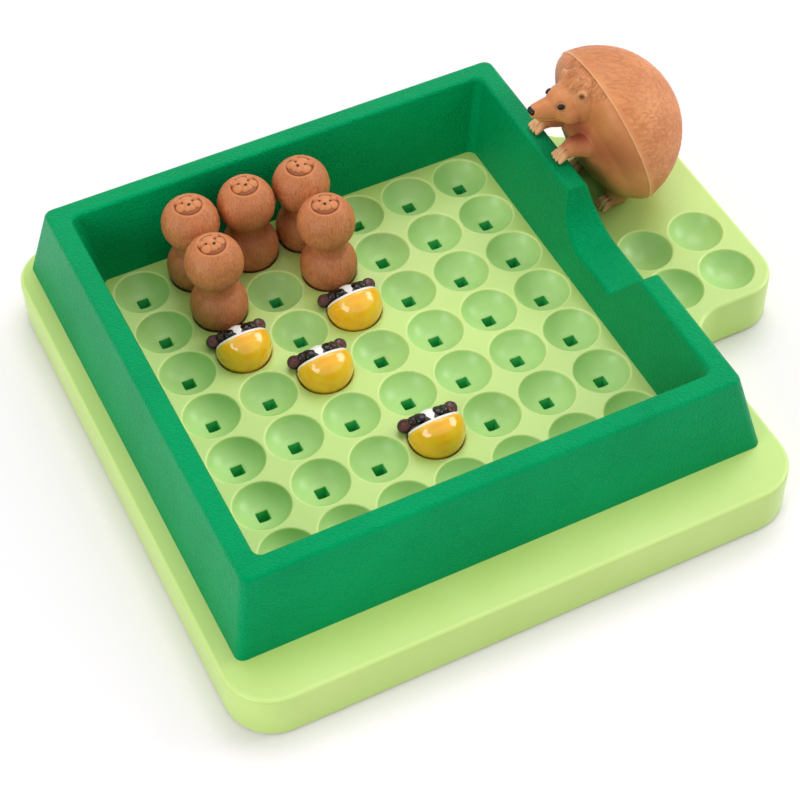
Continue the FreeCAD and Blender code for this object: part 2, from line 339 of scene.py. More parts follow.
blackGloss = makeMaterial("black_gloss_paint", {
    "shade": paint(6, 4, 4), "colour": paint(20, 12, 10), "driftScale": 400.0,
    "roughness": (0.08, 0.14), "grainScale": 900.0, "grainStrength": 0.1, "grainDepth": 0.00004,
    "sockets": {"Specular IOR Level": 0.35}})
print("materials made")


view = {"eye": (-218.735, -428.293, 566.608), "heading": -25.19, "drop": 50.29, "roll": -1.367, "lens": 90.843}


def makeCamera():
    camera = linkObject("camera", bpy.data.cameras.new("camera"))
    turns = [(0, 0, view["heading"]), (90 - view["drop"], 0, 0), (0, 0, view["roll"])]
    turn, tilt, roll = [Euler([math.radians(angle) for angle in angles]).to_matrix() for angles in turns]
    camera.matrix_world = Matrix.Translation(Vector(view["eye"]) * millimetre) @ (turn @ tilt @ roll).to_4x4()
    camera.data.lens = view["lens"]
    camera.data.sensor_width = 36.0
    camera.data.clip_start = 0.01
    scene.camera = camera


lamps = {  # azimuth and height in degrees, as seen from the board, then metres and watts
    "key": {"azimuth": 50.0, "height": 62.0, "distance": 2.6, "size": 2.0, "watts": 35.0},
    "left": {"azimuth": 203.0, "height": 24.0, "distance": 1.2, "size": 0.62, "watts": 5.5},
    "right": {"azimuth": -10.0, "height": 27.0, "distance": 2.0, "size": 0.9, "watts": 13.0}}


def makeLamps():
    aim = Vector((0, 0, 0.02))
    for name, lamp in lamps.items():
        light = bpy.data.lights.new("lamp_" + name, "AREA")
        light.shape = "SQUARE"
        light.size = lamp["size"]
        light.energy = lamp["watts"]
        holder = linkObject("lamp_" + name, light)
        azimuth, height = math.radians(lamp["azimuth"]), math.radians(lamp["height"])
        way = Vector((math.cos(azimuth) * math.cos(height), math.sin(azimuth) * math.cos(height), math.sin(height)))
        holder.location = aim + way * lamp["distance"]
        holder.rotation_euler = way.to_track_quat("Z", "Y").to_euler()


def seenRays(tree):  # camera, glossy and transmission rays together
    rays = addNode(tree, "LightPath").outputs
    seen = addNode(tree, "Math", {0: rays["Is Camera Ray"], 1: rays["Is Glossy Ray"]}, operation="MAXIMUM")
    return addNode(tree, "Math", {0: seen.outputs[0], 1: rays["Is Transmission Ray"]}, operation="MAXIMUM").outputs[0]


surround = {"ambient": 0.5, "ambientColour": (1.0, 1.0, 1.0, 1.0), "floorHalf": 2.5,
            "floorColour": paint(250, 245, 250), "floorLift": (0.0, 0.8), "liftReach": (0.13, 1.6)}


def makeSurround():
    world = bpy.data.worlds.new("studio")
    scene.world = world
    world.use_nodes = True
    tree = world.node_tree
    backdrop = tree.nodes["Background"]
    backdrop.inputs["Color"].default_value = surround["ambientColour"]
    strength = addNode(tree, "MapRange", {0: seenRays(tree), 3: surround["ambient"], 4: 1.0})
    tree.links.new(strength.outputs[0], backdrop.inputs["Strength"])

    half = surround["floorHalf"]
    mesh = bmesh.new()
    mesh.faces.new(addRing(mesh, [(-half, -half, 0), (half, -half, 0), (half, half, 0), (-half, half, 0)]))
    floor = linkObject("floor", meshData(mesh, "floor"))
    material = bpy.data.materials.new("pale_floor")
    material.use_nodes = True
    tree = material.node_tree
    shader = tree.nodes["Principled BSDF"]
    shader.inputs["Base Color"].default_value = surround["floorColour"]
    shader.inputs["Roughness"].default_value = 0.9
    shader.inputs["Specular IOR Level"].default_value = 0.0
    shader.inputs["Emission Color"].default_value = (1.0, 1.0, 1.0, 1.0)
    # a little lift keeps the floor white far from the lamps, with none under the board
    place = addNode(tree, "TexCoord").outputs["Object"]
    away = addNode(tree, "VectorMath", {0: place}, operation="LENGTH").outputs["Value"]
    near, far = surround["liftReach"]
    low, high = surround["floorLift"]
    glow = addNode(tree, "MapRange", {0: away, 1: near, 2: far, 3: low, 4: high}).outputs[0]
    lift = addNode(tree, "Math", {0: seenRays(tree), 1: glow}, operation="MULTIPLY")
    tree.links.new(lift.outputs[0], shader.inputs["Emission Strength"])
    floor.data.materials.append(material)


makeCamera()
makeLamps()
makeSurround()
scene.view_settings.view_transform = "Standard"
print("camera, lamps and floor made")


boardLow, boardHigh = [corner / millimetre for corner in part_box("board_shell")]
board = {
    "pitch": 22.0, "cells": 7, "skin": 1.8, "edgeRound": 1.6, "footRound": 0.4,
    "platformFront": -37.2, "platformBack": 67.0, "cornerRadius": 17.5, "platformRadius": 15.0,
    "dimpleRadius": 11.3, "dimpleDepth": 6.7, "cupSkin": 1.2, "rimRound": 0.9,
    "holeHalf": 2.2, "holeCorner": 0.35, "holeFloor": 12.7, "around": 48, "arcSteps": 12,
    # two of the shares below are painted highlight, on the dimples' rounded rims and on the board's rounded top edge
    "rimSteps": 5, "bowlSteps": 12, "cupSteps": 6, "edgeSteps": 6, "lipHighlight": 0.75, "edgeHighlight": 0.5,
    "bowlFoot": 1.3, "bowlTip": 0.03,  # the dimple's last ring, beyond the hole, or its angle where there is none
    "holeLip": [(0.14, 0.5, 0.0), (0.03, 0.4, 0.07), (0.0, 0.35, 0.25)],  # beyond the hole, corner, drop
    # shares of painted shade down the hole's wall, one for each of its last four rings
    "wellShares": (0.0, 0.0, 0.6, 1.0), "weld": 0.002,
    "parking": [(column, row) for row in (3, 4) for column in (8, 9)],
    "bosses": [(-92, -104), (0, -107), (92, -104), (-98.5, 0), (-94.5, 94.5), (94.5, 94.5), (121, -11), (137, 55)],
    "bossRadius": 3.2, "bossBore": 1.45, "bossFoot": 3.25}


def cellPlace(cell):
    middle = (board["cells"] - 1) / 2
    return (cell[0] - middle) * board["pitch"], (middle - cell[1]) * board["pitch"]


def boardOutline(inset, height):
    left, front = boardLow.x - gridX, boardLow.y - gridY
    right, back, tip = -left, boardHigh.y - gridY, boardHigh.x - gridX
    low, high = board["platformFront"] + inset, board["platformBack"] - inset
    outer = board["cornerRadius"] - inset
    hollow, tight = board["platformRadius"] + inset, board["platformRadius"] - inset
    corners = [(left + inset, front + inset, outer, 180, 90), (right - inset, front + inset, outer, 270, 90),
               (right - inset, low, hollow, 180, -90), (tip - inset, low, tight, 270, 90),
               (tip - inset, high, tight, 0, 90), (right - inset, high, hollow, 270, -90),
               (right - inset, back - inset, outer, 0, 90), (left + inset, back - inset, outer, 90, 90)]
    points = []
    for x, y, radius, start, turn in corners:  # the arc turns back at the platform's two inner corners
        facing = math.radians(start + turn / 2)
        middle = Vector((x, y)) - radius * Vector((math.copysign(1, math.cos(facing)),
                                                   math.copysign(1, math.sin(facing))))
        for step in range(board["arcSteps"] + 1):
            angle = math.radians(start + turn * (step / board["arcSteps"]))
            points.append(gridPoint(middle.x + radius * math.cos(angle), middle.y + radius * math.sin(angle), height))
    return points


def roundedSquare(angle, half, corner):  # distance from the middle to a rounded square's edge
    across, along = abs(math.cos(angle)), abs(math.sin(angle))
    straight = half / max(across, along)
    inner = half - corner
    reachAcross, reachAlong = across * straight, along * straight
    if min(reachAcross, reachAlong) <= inner:
        return straight
    dot = inner * (across + along)
    return dot + math.sqrt(max(0.0, dot * dot - 2 * inner * inner + corner * corner))


def addCell(mesh, cell, holed):
    glow, bowlSheen, wellShade = [mesh.verts.layers.float[name] for name in ("rimHighlight", "bowlSheen", "wellShade")]
    x, y = cellPlace(cell)
    angles = roundTurns(board["around"])
    radius, fillet = board["dimpleRadius"], board["rimRound"]
    ball = trayTop - board["dimpleDepth"] + radius
    filletRise = ball - trayTop + fillet
    filletReach = math.sqrt((radius + fillet) ** 2 - filletRise ** 2)
    touch = math.atan2(filletReach, filletRise)  # angle from straight down, where rim and dimple meet

    def roundRing(reach, height):
        return addRing(mesh, [gridPoint(x + reach * math.cos(a), y + reach * math.sin(a), height) for a in angles])

    def squareRing(half, corner, height):  # height may be a rule for each point's reach
        points = []
        for angle in angles:
            reach = roundedSquare(angle, half, corner)
            level = height(reach) if callable(height) else height
            points.append(gridPoint(x + reach * math.cos(angle), y + reach * math.sin(angle), level))
        return addRing(mesh, points)

    half, hole = board["pitch"] / 2, board["holeHalf"]
    rings = [squareRing(half, 0.0, trayTop)] if holed else []
    for step in range(board["rimSteps"] + 1):
        turn = touch * step / board["rimSteps"]
        rings.append(roundRing(filletReach - fillet * math.sin(turn), trayTop - fillet + fillet * math.cos(turn)))
    lip = len(rings)
    bottomTurn = math.asin((hole + board["bowlFoot"]) / radius) if holed else board["bowlTip"]
    for step in range(1, board["bowlSteps"] + 1):
        turn = touch + (bottomTurn - touch) * step / board["bowlSteps"]
        rings.append(roundRing(radius * math.sin(turn), ball - radius * math.cos(turn)))
    # painted highlight on the dimple's rounded rim
    tintRings(rings[lip - 5:lip - 1], glow, board["lipHighlight"])
    # painted sheen: a cooler, less saturated green inside the dimple
    tintRings(rings[lip:], bowlSheen, 1.0)
    under = [squareRing(half, 0.0, trayTop - board["skin"])] if holed else []
    cup = radius + board["cupSkin"]
    startTurn = math.acos((ball - (trayTop - board["skin"])) / cup)
    endTurn = math.acos((ball - board["holeFloor"]) / cup)
    for step in range(board["cupSteps"] + 1):
        turn = startTurn + (endTurn - startTurn) * step / board["cupSteps"]
        under.append(roundRing(cup * math.sin(turn), ball - cup * math.cos(turn)))
    if holed:
        # the hole's soft lip follows the dimple, then its walls go straight down
        for beyond, corner, drop in board["holeLip"]:
            rings.append(squareRing(hole + beyond, corner,
                                    lambda reach, drop=drop: ball - math.sqrt(radius ** 2 - reach * reach) - drop))
        rings.append(squareRing(hole, board["holeCorner"], board["holeFloor"]))
        # the same painted sheen on the hole's lip and walls
        tintRings(rings[-4:], bowlSheen, 1.0)
        # painted shade: darker green deeper down the hole's wall
        for ring, share in zip(rings[-4:], board["wellShares"]):
            tintRings([ring], wellShade, share)
        bridgeRings(mesh, rings[-1], under[-1])
    else:
        fanRing(mesh, rings[-1], gridPoint(x, y, ball - radius))
        fanRing(mesh, under[-1], gridPoint(x, y, board["holeFloor"] - 0.5))
    bridgeAll(mesh, rings)
    bridgeAll(mesh, under)
    return rings[0], under[0]


def squareLoop(first, last, height):  # outer edge of a block of cells, with the cells' own points
    half = board["pitch"] / 2
    eighth = board["around"] // 8
    spots = [half * math.tan(2 * math.pi * step / board["around"]) for step in range(-eighth, eighth)]
    x0, y1 = cellPlace(first)
    x1, y0 = cellPlace(last)
    columns = [x0 + board["pitch"] * index for index in range(last[0] - first[0] + 1)]
    rows = [y0 + board["pitch"] * index for index in range(last[1] - first[1] + 1)]
    low = [(c + s, y0 - half) for c in columns for s in spots]
    right = [(x1 + half, r + s) for r in rows for s in spots]
    high = [(c - s, y1 + half) for c in reversed(columns) for s in spots]
    left = [(x0 - half, r - s) for r in reversed(rows) for s in spots]
    return [gridPoint(px, py, height) for px, py in low + right + high + left]


def fillBetween(mesh, loops):  # flat faces inside the first loop and outside the others
    verts = [vert for loop in loops for vert in loop]
    edges, start = [], 0
    for loop in loops:
        edges += [(start + index, start + (index + 1) % len(loop)) for index in range(len(loop))]
        start += len(loop)
    flat = [Vector((vert.co.x, vert.co.y)) for vert in verts]
    places, _, faces, sources, _, _ = delaunay_2d_cdt(flat, edges, [], 0, 1e-5)
    for face in faces:
        middle = sum((places[index] for index in face), Vector((0, 0))) / len(face)
        if insideLoop(middle, loops[0]) and not any(insideLoop(middle, loop) for loop in loops[1:]):
            mesh.faces.new([verts[sources[index][0]] for index in face])


def insideLoop(point, loop):
    crossings = 0
    for index, vert in enumerate(loop):
        first, second = loop[index - 1].co, vert.co
        if (first.y > point.y) != (second.y > point.y):
            across = first.x + (point.y - first.y) * (second.x - first.x) / (second.y - first.y)
            crossings += across > point.x
    return crossings % 2 == 1


def makeBoard():
    mesh = bmesh.new()
    for name in ("rimHighlight", "bowlSheen", "wellShade"):
        mesh.verts.layers.float.new(name)
    glow = mesh.verts.layers.float["rimHighlight"]
    for column in range(board["cells"]):
        for row in range(board["cells"]):
            addCell(mesh, (column, row), True)
    cups = [addCell(mesh, cell, False) for cell in board["parking"]]
    edge, foot, skin = board["edgeRound"], board["footRound"], board["skin"]
    bottom = boardLow.z
    sides = [(edge * (1 - math.sin(turn)), trayTop - edge * (1 - math.cos(turn)))
             for turn in [math.pi / 2 * step / board["edgeSteps"] for step in range(board["edgeSteps"] + 1)]]
    sides += [(0, bottom + foot), (foot * 0.3, bottom + foot * 0.3), (foot, bottom), (skin, bottom),
              (skin, trayTop - skin)]
    rings = [addRing(mesh, boardOutline(inset, height)) for inset, height in sides]
    # painted highlight along the board's rounded top edge
    tintRings(rings[1:4], glow, board["edgeHighlight"])
    bridgeAll(mesh, rings)
    last = board["cells"] - 1
    for level, ring in enumerate((rings[0], rings[-1])):
        block = squareLoop((0, 0), (last, last), trayTop - level * skin)
        fillBetween(mesh, [ring, addRing(mesh, block)] + [cup[level] for cup in cups])
    bmesh.ops.remove_doubles(mesh, verts=mesh.verts, dist=board["weld"])
    for x, y in board["bosses"]:
        profile = [(board["bossBore"], trayTop - 2 * skin), (board["bossBore"], board["bossFoot"]),
                   (board["bossRadius"], board["bossFoot"]), (board["bossRadius"], trayTop - skin + 0.1)]
        turnProfile(mesh, profile, gridPoint(x, y))
    makePiece("board_moulding", mesh, lightGreen, "board", ["board_shell"], 50)


makeBoard()
print("board made")


wall = {
    "height": wallTop - trayTop, "inFloor": 77.6, "inTop": 83.4, "outTop": 91.0, "outFloor": 98.2,
    "skin": 2.0, "corner": 3.3, "cornerSteps": 8, "lip": 1.5, "sill": 13.0, "boreDepth": 10.0,
    "notchBack": (13.8, -0.4), "notchFront": (-37.4, -22.6), "notchSweep": (0.62, 1.6),
    "bosses": [(-88, -88), (0, -88), (88, -88), (88, 55), (88, 88), (0, 88), (-88, 88), (-88, 0)]}


def notchHeight(y):
    rim, foot = wall["notchBack"]
    frontRim, frontFoot = wall["notchFront"]
    drop = wall["height"] - wall["sill"]
    if y >= rim or y <= frontRim:
        return wall["height"]
    if y > foot:  # steep at the rim, easing out to the sill
        share = (rim - y) / (rim - foot)
        early, late = wall["notchSweep"]
        return wall["sill"] + drop * (1 - share ** early) ** late
    if y < frontFoot:
        share = (frontFoot - y) / (frontFoot - frontRim)
        straight = min(1.0, max(0.0, (share - 0.03) / 0.94))
        return wall["sill"] + drop * (0.7 * straight + 0.3 * smoothStep(0, 1, straight))
    return wall["sill"]


def wallProfile(height):  # (half width, height) once round the hollow wall's section
    outLean = (wall["outFloor"] - wall["outTop"]) / wall["height"]
    inLean = (wall["inTop"] - wall["inFloor"]) / wall["height"]
    outside = lambda z, inset=0.0: wall["outFloor"] - outLean * z - inset
    inside = lambda z, inset=0.0: wall["inFloor"] + inLean * z + inset
    lip, skin = wall["lip"], wall["skin"]
    edges = [((outside(height - lip), height - lip), (outside(height), height), (outside(height) - lip, height)),
             ((inside(height) + lip, height), (inside(height), height), (inside(height - lip), height - lip))]
    points = [(outside(height * share), height * share) for share in (0, 0.2, 0.4, 0.6, 0.8)]
    points += [bend(*edge, step / 6) for edge in edges for step in range(7)]
    points += [(inside(height * share), height * share) for share in (0.8, 0.6, 0.4, 0.2, 0)]
    under = height - skin
    points += [(inside(0, skin), 0), (inside(under, skin), under), (outside(under, skin), under), (outside(0, skin), 0)]
    return points


def wallStations():  # (side, spot along it, corner angle) round the frame
    plain = [-72, -48, -24, 0, 24, 48, 72]
    fine = [wall["notchFront"][0] - 1 + 0.4 * step for step in range(132)]
    notched = [-72, -55] + [y for y in fine if y < wall["notchBack"][0] + 1] + [30, 50, 72]
    stations = []
    for side in range(4):
        spots = notched if side == 0 else plain
        stations += [(side, spot, None) for spot in spots]
        stations += [(side, None, 90 * step / wall["cornerSteps"]) for step in range(wall["cornerSteps"] + 1)]
    return stations


def makeWall():
    mesh = bmesh.new()
    rings = []
    corner = wall["corner"]
    for side, spot, angle in wallStations():
        turn = Matrix.Rotation(math.radians(90 * side), 2)
        height = wall["height"] if spot is None or side else notchHeight(spot)
        ring = []
        for half, z in wallProfile(height):
            if angle is None:
                place = Vector((half, spot))
            else:
                bow = math.radians(angle)
                place = Vector((half - corner + corner * math.cos(bow), half - corner + corner * math.sin(bow)))
            place = turn @ place
            ring.append(gridPoint(place.x, place.y, trayTop + z))
        rings.append(addRing(mesh, ring))
    bridgeAll(mesh, rings, looped=True)
    bore, boss = board["bossBore"], board["bossRadius"]
    for x, y in wall["bosses"]:
        profile = [(bore, trayTop + wall["boreDepth"]), (bore, trayTop), (boss, trayTop),
                   (boss, wallTop - wall["skin"] + 0.1)]
        turnProfile(mesh, profile, gridPoint(x, y))
    makePiece("wall_moulding", mesh, darkGreen, "board", ["wall_frame"], 38)


makeWall()
for name, material in (("socket_tray", trayGreen), ("rubber_pads", padRubber),
                       ("tray_screws", screwSteel), ("frame_screws", screwSteel)):
    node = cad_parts[name]
    for slot in node.material_slots:
        slot.material = material
print("wall frame made")


baby = {
    "radius": 10.7, "lowerLift": 4.7, "upperLift": 26.0, "waist": 4.0, "around": 300,
    "face": 5.3, "grooveDepth": 0.55, "grooveWidth": 0.34, "hairDepth": 0.24,
    "hairShade": 0.5, "hairStart": (0.1, 1.2), "blushAndShade": (0.16, 0.5),  # hair begins outside the face's groove; a reddish tone of 0.16 on top grows to 0.5 on the undersides as painted shade
    "eye": (1.95, 0.9), "eyeSize": (0.5, 0.42, 0.24), "nose": (0.0, -1.5), "noseSize": (0.62, 0.5, 0.32),
    "lobes": [  # side and height on the face, radius, how far it stands out
        ((0.0, 1.8), 3.1, 0.75), ((0.0, -1.3), 1.8, 1.0), ((0.9, -2.6), 1.4, 0.85), ((3.2, -0.9), 2.2, 0.8),
        ((3.3, 2.5), 1.45, 1.5)],
    "steps": {"lower": 75, "waist": 14, "upper": 70, "face": 52}, "faceMargin": 0.6,
    "sink": 0.75, "cheekDip": ((3.25, 2.35), 0.75, 0.5), "eyeDip": (0.35, 0.8),  # depth and width of each dip
    "turns": {1: -5.0, 2: 2.0, 3: -47.0, 4: 15.0, 5: -24.0}}


def babyFace(across, along):  # how far the carved face stands out, across and up the face
    reach = math.hypot(across, along)
    side = abs(across)
    inside = 1 - smoothStep(baby["face"] - 0.25, baby["face"] + 0.05, reach)
    raised = 0.0
    for place, radius, height in baby["lobes"]:
        away = math.hypot(side - place[0], along - place[1]) / radius
        raised = max(raised, height * max(0.0, 1 - away * away) ** 0.7)
    for place, depth, width in (baby["cheekDip"], (baby["eye"], *baby["eyeDip"])):
        raised -= depth * hump(math.hypot(side - place[0], along - place[1]), width)
    groove = -baby["grooveDepth"] * hump(reach - baby["face"], baby["grooveWidth"])
    return inside * (raised - baby["sink"]) + groove


def hairGrooves(point, along):  # short wavy strokes that mostly follow the hair
    wave = 0.9 * noise.noise(Vector((point.x * 0.5, point.y * 0.5, along * 0.5)))
    sample = Vector((point.x * 1.05 + wave, point.y * 1.05 + wave, along * 0.3 + wave))
    coarse = ridge(sample + Vector((3.1, 7.7, 1.3)), 3.6, 1.5)
    fine = ridge(sample * 2.0 + Vector((9.2, 0.4, 5.5)), 3.6, 1.5)
    return 0.6 * coarse + 0.5 * fine


def babyProfile():  # (x of the arc's centre, its height, radius, angle, outward sign)
    low, high, ball, waist = baby["lowerLift"], baby["upperLift"], baby["radius"], baby["waist"]
    half = (high - low) / 2
    waistX = math.sqrt((ball + waist) ** 2 - half ** 2)
    touch = math.atan2(half, waistX)
    faceTurn = math.acos((baby["face"] + baby["faceMargin"]) / ball)
    quarter, steps = math.pi / 2, baby["steps"]
    profile = [(0.0, low, ball, -quarter + (touch + quarter) * step / steps["lower"], 1)
               for step in range(1, steps["lower"] + 1)]
    profile += [(waistX, low + half, waist, math.pi + touch - 2 * touch * step / steps["waist"], -1)
                for step in range(1, steps["waist"])]
    profile += [(0.0, high, ball, -touch + (faceTurn + touch) * step / steps["upper"], 1)
                for step in range(steps["upper"])]
    profile += [(0.0, high, ball, faceTurn + (quarter - faceTurn) * step / steps["face"], 1)
                for step in range(steps["face"])]
    return profile


def makeBabySkin():
    mesh = bmesh.new()
    furrowShade = mesh.verts.layers.float.new("furrowShade")
    blushAndShade = mesh.verts.layers.float.new("blushAndShade")
    ball, high = baby["radius"], baby["upperLift"]
    hairEdge = [baby["face"] + beyond for beyond in baby["hairStart"]]
    top, foot = baby["blushAndShade"]
    rings = []
    travelled, before = 0.0, None
    for centreX, centreZ, radius, turn, sign in babyProfile():
        reach = centreX + radius * math.cos(turn)
        height = centreZ + radius * math.sin(turn)
        if before:
            travelled += math.hypot(reach - before[0], height - before[1])
        before = (reach, height)
        ring = []
        onFace = height > high and reach < baby["face"] + 0.9
        hairShare = smoothStep(*hairEdge, reach) if height > high else 1.0
        # painted shade: the reddish tone grows towards each ball's underside
        underside = 1 - smoothStep(-0.6, 0.5, (height - centreZ) / ball)
        for angle in roundTurns(baby["around"]):
            out = Vector((math.cos(angle), math.sin(angle), 0))
            normal = sign * (out * math.cos(turn) + Vector((0, 0, math.sin(turn))))
            groove = hairShare * hairGrooves(out * ball, travelled)
            push = -baby["hairDepth"] * groove
            # painted shade in the hair grooves
            shade = baby["hairShade"] * groove
            if onFace:
                carved = babyFace(out.x * reach, out.y * reach)
                push += carved
                # painted shade in the face's carved hollows
                shade = max(shade, smoothStep(0.3, 0.8, -carved) * 0.75)
            vert = mesh.verts.new(out * reach + Vector((0, 0, height)) + normal * push)
            vert[furrowShade] = min(1.0, shade)
            vert[blushAndShade] = top + (foot - top) * underside
            ring.append(vert)
        rings.append(ring)
    bridgeAll(mesh, rings)
    fanRing(mesh, rings[0], (0, 0, baby["lowerLift"] - ball))
    fanRing(mesh, rings[-1], (0, 0, high + ball + babyFace(0, 0)))
    return finishMesh(mesh, "baby_skin")


def makeBabyEyes():
    mesh = bmesh.new()
    ball, high = baby["radius"], baby["upperLift"]
    spots = [(side * baby["eye"][0], baby["eye"][1], baby["eyeSize"]) for side in (-1, 1)]
    spots.append((*baby["nose"], baby["noseSize"]))
    for x, y, size in spots:
        normal = Vector((x, y, math.sqrt(ball ** 2 - x * x - y * y))).normalized()
        turn = normal.to_track_quat("Z", "Y").to_matrix()
        addPebble(mesh, Vector((0, 0, high)) + normal * (ball + babyFace(x, y)), size, turn)
    return finishMesh(mesh, "baby_eyes")


def makeBabies():
    skin, eyes = makeBabySkin(), makeBabyEyes()
    for number, turn in baby["turns"].items():
        node, body = "baby_hedgehog_%d" % number, "baby_%d" % number
        low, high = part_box(node)
        place = Matrix.Translation(((low.x + high.x) / 2, (low.y + high.y) / 2, trayTop * millimetre))
        place = place @ Matrix.Rotation(math.radians(turn), 4, "Z")
        placePiece(node + "_skin", skin, brownVinyl, body, [node], place)
        placePiece(node + "_eyes", eyes, blackGloss, body, place=place)


makeBabies()
print("small figures made")


badger = {
    "cells": [(1, 2), (3, 2), (2, 3), (3, 5)], "radius": 10.2, "lift": 3.1, "seatGap": 0.35,
    "plane": (0.88, 0.47), "planeAt": 2.2, "lip": 1.1, "around": 144,
    "crease": 2.7, "creaseDepth": 0.13, "creaseWidth": 0.85, "creaseEnds": (4, 7.5),  # it fades out to the sides
    "lipSteps": 8, "ballSteps": 63, "hollow": [(2.2, 0.8), (3.5, 1.6)],  # in from the rim and down behind it
    "pegHalf": 2.0, "pegBottom": 7.0, "pegRoot": -7.5, "pegCorner": 0.45, "pegAround": 32,
    "pegFoot": [(0.5, 0.0), (0.12, 0.35), (0.0, 0.8)],  # inset and height of its bevel
    "skull": [((0, 2.8, -2.0), (9.2, 6.3, 4.6)), ((0, 4.6, 0.6), (4.2, 4.2, 3.3)), ((0, 5.6, -2.0), (7.0, 4.2, 4.2))],
    "skullCentre": (0, 3.6, -1.0), "skullGap": 0.35, "skullSweep": 128, "skullSteps": 99, "skullAround": 180,
    "skullBlend": 9, "paintStep": 0.14, "eye": (3.1, 5.0, 1.9), "eyeSize": (2.6, 2.2, 2.2),
    "lids": [  # centre and radii, mirrored to both sides and melted together
        ((3.7, 5.9, 1.3), (2.7, 2.4, 2.2)), ((5.7, 6.3, 0.9), (2.3, 2.1, 2.0)), ((7.2, 6.8, 0.2), (1.9, 1.8, 1.8)),
        ((8.9, 6.9, -0.4), (2.55, 2.55, 2.55))],
    "ear": (8.9, 6.9, -0.4), "earRadius": 2.55, "earWay": (0.25, -0.45, 0.85), "lidVoxel": 0.2,
    "blaze": (0.5, 2.8), "blazeRise": (2.0, 7.0), "blazeEdge": 0.12,
    "bead": (0.8, 0.75), "maskRise": 0.8, "maskSteps": 24, "rimAround": 120}


def faceAxes():
    forward = Vector((0, *badger["plane"])).normalized()
    side = Vector((1, 0, 0))
    return forward, side, forward.cross(side)


def exitReach(origin, way, centre, radii):  # where a ray from inside leaves an ellipsoid
    start = Vector([(o - c) / r for o, c, r in zip(origin, centre, radii)])
    step = Vector([w / r for w, r in zip(way, radii)])
    a, b, c = step.dot(step), start.dot(step), start.dot(start) - 1
    root = b * b - a * c
    return (-b + math.sqrt(root)) / a if root > 0 else 0.0


def makeBadgerBody():
    mesh = bmesh.new()
    forward, side, third = faceAxes()
    ball, lip, rim = badger["radius"], badger["lip"], badger["planeAt"]
    seat = board["dimpleRadius"] - badger["seatGap"]
    seatCentre = Vector((0, 0, board["dimpleRadius"] - board["dimpleDepth"] - badger["lift"]))
    rimReach = math.sqrt(ball ** 2 - rim ** 2)
    rimTurn = math.atan2(rimReach, -rim)  # from the pole opposite the face
    section = []
    for step in range(1, badger["ballSteps"] + 1):
        turn = (rimTurn - lip / ball) * step / badger["ballSteps"]
        crease = hump((rimTurn - turn) * ball - badger["crease"], badger["creaseWidth"])
        section.append((ball * math.sin(turn), -ball * math.cos(turn), crease))
    start, corner, finish = section[-1][:2], (rimReach, rim), (rimReach - 1.2 * lip, rim + 0.1)
    section += [(*bend(start, corner, finish, step / badger["lipSteps"]), 0)
                for step in range(1, badger["lipSteps"] + 1)]
    section += [(rimReach - inset, rim - drop, 0) for inset, drop in badger["hollow"]]
    rings = []
    for reach, height, crease in section:
        ring = []
        for angle in roundTurns(badger["around"]):
            point = outward(side, third, angle) * reach + forward * height
            point *= 1 - badger["creaseDepth"] * crease / ball * (1 - smoothStep(*badger["creaseEnds"], abs(point.x)))
            away = point - seatCentre
            if away.length > seat:  # flattened where it would cut into the dimple
                point = seatCentre + away * (seat / away.length)
            ring.append(mesh.verts.new(point))
        rings.append(ring)
    bridgeAll(mesh, rings)
    fanRing(mesh, rings[0], -forward * ball)
    fanRing(mesh, rings[-1], forward * (rim - 2.4))
    # square peg with a bevelled foot
    drop = badger["pegBottom"] - trayTop - badger["lift"]
    rings = []
    for inset, height in [(inset, drop + rise) for inset, rise in badger["pegFoot"]] + [(0.0, badger["pegRoot"])]:
        ring = []
        for angle in roundTurns(badger["pegAround"], 0.5):
            reach = roundedSquare(angle, badger["pegHalf"] - inset, badger["pegCorner"])
            ring.append(Vector((reach * math.cos(angle), reach * math.sin(angle), height)))
        rings.append(addRing(mesh, ring))
    bridgeAll(mesh, rings)
    fanRing(mesh, rings[0], (0, 0, drop))
    fanRing(mesh, rings[-1], (0, 0, badger["pegRoot"]))
    return finishMesh(mesh, "badger_body")


def stripeShare(point):  # 0 on the white blaze, which widens away from the yellow, and 1 beside it
    narrow, wide = badger["blaze"]
    half = narrow + (wide - narrow) * smoothStep(*badger["blazeRise"], point.y)
    return smoothStep(half - badger["blazeEdge"], half + badger["blazeEdge"], abs(point.x))


def makeBadgerFace():
    mesh = bmesh.new()
    stripe = mesh.verts.layers.float.new("stripe")
    forward, side, third = faceAxes()
    origin, power = Vector(badger["skullCentre"]), badger["skullBlend"]
    limit = badger["radius"] - badger["skullGap"]

    def skullReach(way):  # the skull's lobes blended into one surface
        reaches = [exitReach(origin, way, centre, radii) for centre, radii in badger["skull"]]
        return sum(value ** power for value in reaches) ** (1 / power)

    rings = []
    for step in range(1, badger["skullSteps"] + 1):
        turn = math.radians(badger["skullSweep"]) * step / badger["skullSteps"]
        ring = []
        for angle in roundTurns(badger["skullAround"]):
            way = outward(side, third, angle) * math.sin(turn) + forward * math.cos(turn)
            point = origin + way * skullReach(way)
            if point.length > limit:
                point = point * (limit / point.length)
            mark = stripeShare(point)
            vert = mesh.verts.new(point + way * badger["paintStep"] * mark)
            vert[stripe] = mark
            ring.append(vert)
        rings.append(ring)
    bridgeAll(mesh, rings)
    fanRing(mesh, rings[0], origin + forward * min(skullReach(forward), limit - origin.dot(forward)))
    fanRing(mesh, rings[-1], origin - forward * 3.0)
    return finishMesh(mesh, "badger_face")


